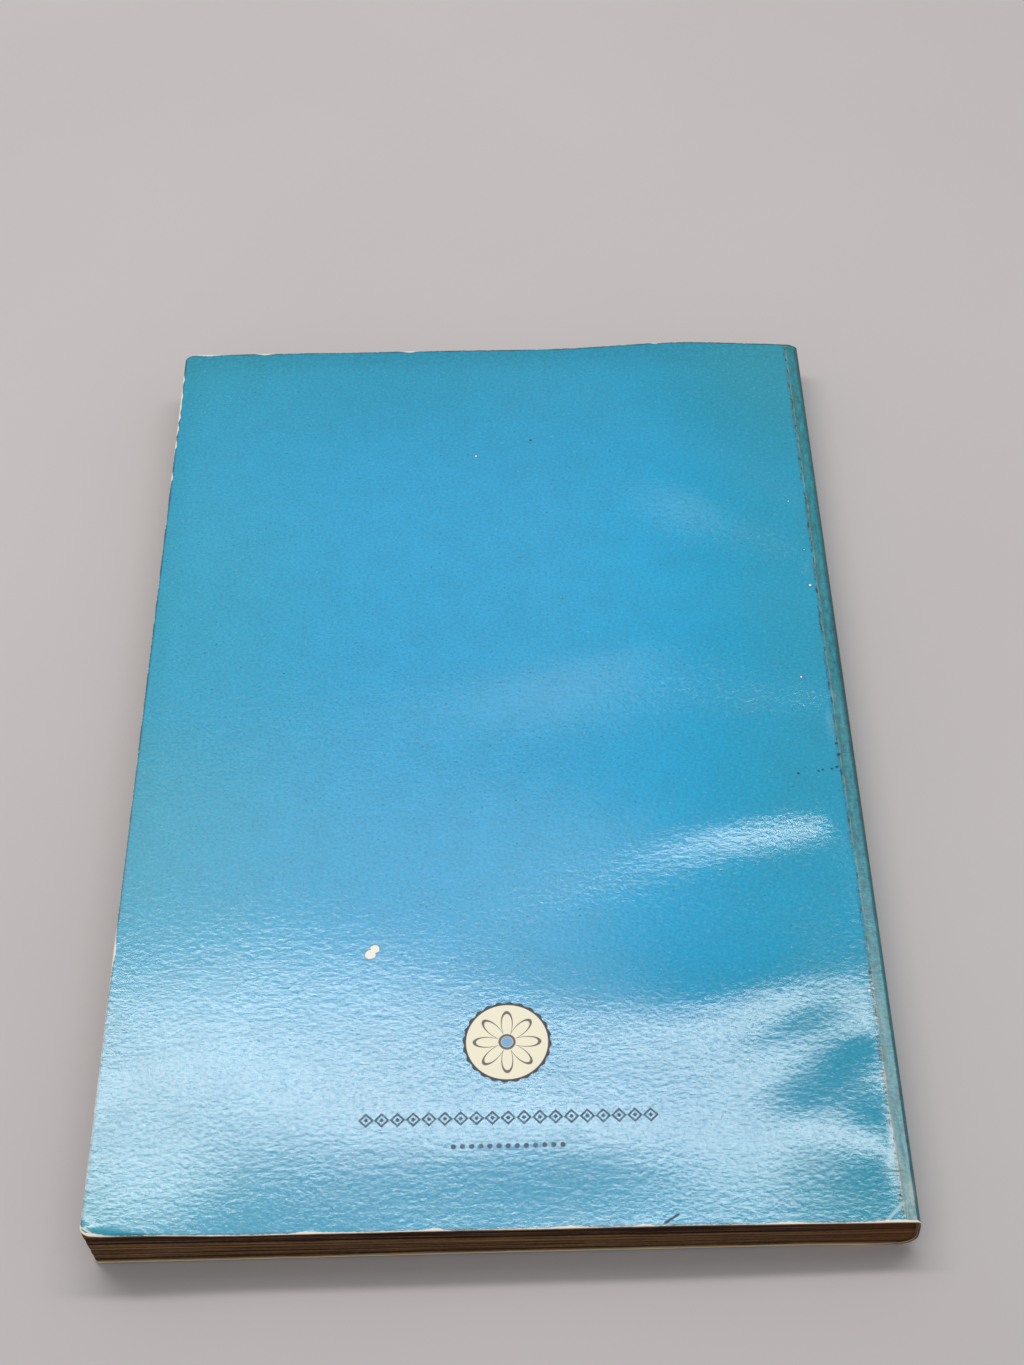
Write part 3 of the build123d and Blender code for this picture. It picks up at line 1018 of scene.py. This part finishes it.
# %% Back cover and spine wrap
BEND = 0.32
TAIL_CORNER = 1.3
HEAD_CORNER = 1.6
# The notch that wear has made in the upper bend, at the head: depth and half width
NOTCH_DEPTH, NOTCH_HALF = 0.55, 0.55
back_rows = np.concatenate(
    [
        NEAR_EDGE,
        np.linspace(PLAIN_START, hinge - 6, 118),
        np.linspace(hinge - 5.6, hinge - BEND - 0.1, 14),
        np.linspace(hinge - BEND, hinge + BEND, 15),
        np.linspace(hinge + BEND + 0.12, crest_start - 0.05, 5),
        np.linspace(crest_start, spine_start, 12),
        np.linspace(spine_start, roll_start, 9)[1:],
        np.linspace(roll_start, roll_end, 16)[1:],
        [seam],
    ]
)


def upper_waves(x, y):
    """The back cover's waves, for the rows above the spine. The rows round and under it have none."""
    return back_waves(x, y) * (back_rows < spine_start)[:, None]


crest_middle = (crest_start + spine_start) / 2
back_card = card_piece(
    "back_cover_and_spine",
    back_rows,
    upper_waves,
    corner_cut(back_rows, TAIL_CORNER),
    corner_cut(back_rows, HEAD_CORNER) + NOTCH_DEPTH * bell(back_rows - crest_middle, NOTCH_HALF),
    back_rows,
    True,
)
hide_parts("back_cover", "spine_cover")
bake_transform(back_card)

# %% [markdown]
# The second piece is the front cover, which carries on where the first one ends under the spine. The seam
# lies flat on the table, past the rolled bend, where nobody sees it.

# %% Front cover
FRONT_CORNER = 0.8
front_rows = np.concatenate(
    [
        [seam, front_hinge - 0.4],
        np.linspace(front_hinge - BEND, front_hinge + BEND, 15),
        np.linspace(front_hinge + BEND + 0.4, card_end - PLAIN_START, 120),
        card_end - NEAR_EDGE[::-1],
    ]
)
from_fore = card_end - front_rows
front_cut = corner_cut(from_fore, FRONT_CORNER)
front_card = card_piece(
    "front_cover_card", front_rows, front_waves, front_cut, front_cut, from_fore, False
)
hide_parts("front_cover")
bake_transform(front_card)

# %% [markdown]
# The leaves are wood-pulp paper that has browned from its edges inwards. One closed surface holds them all:
# its columns go round the block, and its rows climb the sides. The ring of columns runs along the tail edge
# from the spine, round a small worn corner, up the fore edge and back along the head edge.

# %% Ring round the block of leaves
BLOCK_Y = HALF_HEIGHT - LEAF_SETBACK
BLOCK_LOW = CARD + SIDE_FILM
LEAF_CORNER = 0.5
LEAF_WIDTH = 107.3


def block_ring():
    """Points round the block, clockwise from the spine at the tail: distance from the fore face, y, and the
    way outwards in x and y."""
    run = np.concatenate([np.linspace(LEAF_WIDTH, 8, 62), np.linspace(7, LEAF_CORNER, 12)])
    turn = np.linspace(0, math.pi / 2, 6)[1:-1]
    climb = np.concatenate([[-80.35, -79.3, -78, -76.5, -75], np.linspace(-73, 80.35, 76)])
    tail = np.stack([run, -BLOCK_Y + 0 * run, 0 * run, -1 + 0 * run], axis=1)
    inwards = LEAF_CORNER * (1 - np.sin(turn))
    upwards = LEAF_CORNER * (1 - np.cos(turn))
    first = np.stack([inwards, upwards - BLOCK_Y, -np.sin(turn), -np.cos(turn)], axis=1)
    fore = np.stack([0 * climb, climb, -1 + 0 * climb, 0 * climb], axis=1)
    mirrored = np.array([1, -1, 1, -1])
    back = np.stack([np.full(5, LEAF_WIDTH), np.linspace(70, -70, 5), np.ones(5), np.zeros(5)], axis=1)
    return np.concatenate([tail, first, fore, (first * mirrored)[::-1], (tail * mirrored)[::-1], back])


ring = block_ring()
columns = len(ring)
ring_length = np.concatenate([[0], np.cumsum(np.linalg.norm(np.diff(ring[:, :2], axis=0), axis=1))])
print("The ring has", columns, "points and is", round(ring_length[-1]), "mm long")

# %% [markdown]
# On the trimmed sides you see the edge of every leaf, some darker and some set back, in gatherings that step
# in and out. Each leaf has three rows, and the third one is sunk as a groove to the next leaf. Seeded random
# numbers give each leaf its depth, its tone and two slow waves along its edge, the same in every run.

# %% Depth and tone of each leaf
LEAVES = 80
GATHERINGS = 9
BAND_STEP = 0.1
GROOVE_DEPTH = 0.06
WAVE_DEPTH = 0.018
# The leaves at the fore edge stand back by this share of what they do at the tail and the head
FORE_SHARE = 0.5
GATHERING_TONES = np.array([-0.2, 0.3, 0.05, -0.2, 0.35, -0.1, 0.1, -0.35, -0.05])
draw = np.random.default_rng(20)

leaf = np.arange(LEAVES)
leaf_rows = np.stack([leaf + 0.12, leaf + 0.78, leaf + 0.96], axis=1)
leaf_rows[-1] = [LEAVES - 0.88, LEAVES - 0.4, LEAVES]
heights = np.concatenate([[0], leaf_rows.ravel()]) / LEAVES
leaf_of_row = np.concatenate([[0], np.repeat(leaf, 3)])
grooved = np.concatenate([[0], np.tile([0.0, 0.0, 1.0], LEAVES)])
grooved[-1] = 0

leaf_depth = draw.uniform(0, 0.05, LEAVES) + 0.09 * (draw.random(LEAVES) > 0.86)
leaf_tone = np.clip(draw.normal(0.45, 0.42, LEAVES), -0.3, 1.5)
phase = draw.uniform(0, 2 * math.pi, (LEAVES, 2, 1))
period = draw.uniform(14, 60, (LEAVES, 2, 1))
wobble = np.sin(2 * math.pi * ring_length / period + phase).sum(axis=1)

gathering = (leaf * GATHERINGS) // LEAVES
step_back = BAND_STEP * ((GATHERINGS - 1 - gathering) % 3) / 2 * np.clip(leaf / 4, 0, 1)
leaf_depth = leaf_depth * (0.2 + 0.8 * np.clip((leaf - 1) / 4, 0, 1))
depth = (leaf_depth + step_back)[:, None] + WAVE_DEPTH * wobble
depth = depth[leaf_of_row] + GROOVE_DEPTH * grooved[:, None]
depth = depth * (1 - (1 - FORE_SHARE) * np.abs(ring[:, 2]))
tone = ((leaf_tone + GATHERING_TONES[gathering])[:, None] + 0.12 * wobble)[leaf_of_row]
print("The leaves stand back by", round(float(depth.max()), 2), "mm at most")

# %% [markdown]
# The block itself fills the space that the covers leave. A point's height is a share of the wedge there, and
# its ends bend with the covers. Above and below the sides, the rows close in towards the middle as the first
# and last page, and a fan of triangles shuts the last small hole.

# %% Surface of the block
CLOSING = np.array([0.0006, 0.004, 0.015, 0.04, 0.09, 0.18, 0.32, 0.52, 0.76])[:, None]
CLINGING = 6
# The block's side at the spine is as high as the space between the covers at this x
SPINE_SIDE_X = 52
spine_side = profile(CARD + SPINE_FILM)[1 : ROLL_LAST + 1][::-1]


def block_points(height, depth, closing):
    """Points of one ring or many: across the block by the fore face's lean and the spine's curve, in by the
    depth, up by the share of the wedge's height there, and towards the middle by the closing share. The
    covers' waves count by a high power of the height, so that only the outermost leaves follow them."""
    spine_z = BLOCK_LOW + height * (top_at(SPINE_SIDE_X) - 2 * BLOCK_LOW)
    spine_x = np.interp(spine_z, spine_side[:, 1], spine_side[:, 0])
    fore_x = -HALF_WIDTH + LEAF_SETBACK + FORE_LEAN * (1 - height)
    across = ring[None, :, 0] - ring[None, :, 2] * depth
    y = ring[None, :, 1] - ring[None, :, 3] * depth
    across = across + (LEAF_WIDTH / 2 - across) * closing
    y = y * (1 - closing)
    x = fore_x + across * (spine_x - fore_x) / LEAF_WIDTH
    plain_upper = top_at(x) - BLOCK_LOW / math.cos(TILT)
    z = BLOCK_LOW + height * (plain_upper - BLOCK_LOW)
    z = z + leaf_waves(x, y, closing) * height**CLINGING + front_waves(x, y) * (1 - height) ** CLINGING
    return np.stack([x, y, z], axis=-1)


flat_depth = np.zeros((1, columns))
sides = block_points(heights[:, None], depth, 0)
page_up = block_points(np.ones_like(CLOSING), flat_depth + depth[-1:], CLOSING)
page_down = block_points(np.zeros_like(CLOSING), flat_depth + depth[:1], CLOSING)[::-1]
grid = np.concatenate([page_down, sides, page_up])
rows = len(grid)
poles = np.array([[0, 0, BLOCK_LOW], [0, 0, top_at(0) - BLOCK_LOW / math.cos(TILT)]])
points = np.concatenate([grid.reshape(-1, 3), poles])

around = np.arange(columns)
ahead = np.roll(around, -1)
last = (rows - 1) * columns
lower_fan = np.stack([np.full(columns, rows * columns), around, ahead], axis=1)
upper_fan = np.stack([last + ahead, last + around, np.full(columns, rows * columns + 1)], axis=1)
faces = grid_faces(rows, columns, closed=True).tolist() + lower_fan.tolist() + upper_fan.tolist()
is_side = np.zeros(rows - 1, bool)
is_side[len(CLOSING) : len(CLOSING) + len(heights) - 1] = True
skins = np.concatenate([np.repeat(np.where(is_side, 0, 1), columns), np.ones(2 * columns)])
print("The block has", rows, "rings of", columns, "points")

# %% [markdown]
# The finishes of the block read three values: whether a point lies in a groove, the tone of its leaf, and
# its distance from the block's edge. The pages have no grooves and one middle tone.

# %% Values that the leaves' finishes read
PAGE_TONE = 0.5
PAGE_INNER = 50


def with_pages(side_values, fill):
    """Side values with a constant for the rows of both pages and for the two poles."""
    page = np.full((len(CLOSING), columns), fill)
    return np.append(np.concatenate([page, side_values, page]), [fill, fill])


from_edge = np.minimum(BLOCK_Y - np.abs(grid[:, :, 1]), grid[:, :, 0] + HALF_WIDTH)
values = {
    "groove": with_pages(np.broadcast_to(grooved[:, None], depth.shape), 0.0),
    "tone": with_pages(tone, PAGE_TONE),
    "edge": np.append(from_edge, [PAGE_INNER, PAGE_INNER]),
}
print("The leaves' tones run from", round(float(tone.min()), 1), "to", round(float(tone.max()), 1))

# %% [markdown]
# The trimmed sides are dark brown and matt, streaked leaf by leaf, with painted shade in the grooves. Dust in
# clouds of 6 mm and flecks of two thirds of a millimetre break the streaks up, and near the spine, which glue
# and thumbs have stained, they are redder.

# %% Finish of the trimmed edges
leaf_edges, tree, shader = start_material("trimmed_edges_of_aged_pulp_paper", Roughness=0.9, IOR=1.4)
place = object_place(tree)
names = ("tone", "groove")
mixed, groove = [add(tree, "Attribute", output="Fac", attribute_name=name) for name in names]
for marks in (noise(tree, place, 6.25, detail=4), noise(tree, place, 0.667)):
    mixed = add(tree, "Math", [marks, 0.5, mixed], operation="MULTIPLY_ADD")
brown = glaze(
    tree,
    "#331B0E",
    ("#A0784E", (mixed, 0.64, 1.48)),
    # Painted shade in the grooves between leaves
    ("#2A1A10", (groove, 0, 1, 0, 0.7)),
    ("#6E3E1C", (add(tree, "SeparateXYZ", [place], "X"), 36, 52, 0, 0.55)),
)
finish_with(tree, shader, brown)

# %% [markdown]
# The first and last page are tan, and paler towards the middle, because light and air browned the rims
# first. The browning reaches in by 10 to 24 mm, unevenly, and the pulp's own splinters are specks under a
# millimetre long.

# %% Finish of the pages
page_face, tree, shader = start_material("aged_pulp_page", Roughness=0.9, IOR=1.4)
place = object_place(tree)
edge = add(tree, "Attribute", output="Fac", attribute_name="edge")
blots = noise(tree, place, 14.3, detail=5)
fibres = noise(tree, place, 0.714, detail=3)
reach_in = add(tree, "Math", [blots, 14, edge], operation="MULTIPLY_ADD")
paper = glaze(
    tree,
    "#CBB68E",
    ("#B08A58", (reach_in, 5, 24, 1, 0)),
    ("#8A6C48", (fibres, 0.62, 0.75, 0, 0.35)),
)
tooth = add(tree, "Bump", {"Height": fibres, "Strength": 0.3, "Distance": 0.03 * MM})
finish_with(tree, shader, paper, None, tooth)

# %% [markdown]
# The block replaces the plain solid of the leaves. It rides on the body that is held still, which the leaves
# share with the spine.

# %% Block of leaves
text_block = make_piece("leaf_block", points, faces, [leaf_edges, page_face], skins.astype(np.int32), values)
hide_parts("text_block")
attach(text_block, "leaves_and_spine")

# %% [markdown]
# The binding glue stays as the frame gives it: a thin film between leaves and spine, seen only at its two
# ends and under an open cover. Old animal glue is amber, brittle and a little glossy, with runs of 4 to 5 mm.

# %% Glue
old_glue, tree, shader = start_material("old_animal_glue", Roughness=0.65, IOR=1.5)
runs = noise(tree, object_place(tree), 4.55, detail=4)
lumps = add(tree, "Bump", {"Height": runs, "Strength": 0.4, "Distance": 0.1 * MM})
finish_with(tree, shader, glaze(tree, "#33200F", ("#6E4824", runs)), None, lumps)
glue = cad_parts["spine_glue"]
if not glue.material_slots:
    glue.data.materials.append(old_glue)
for glue_slot in glue.material_slots:
    glue_slot.material = old_glue
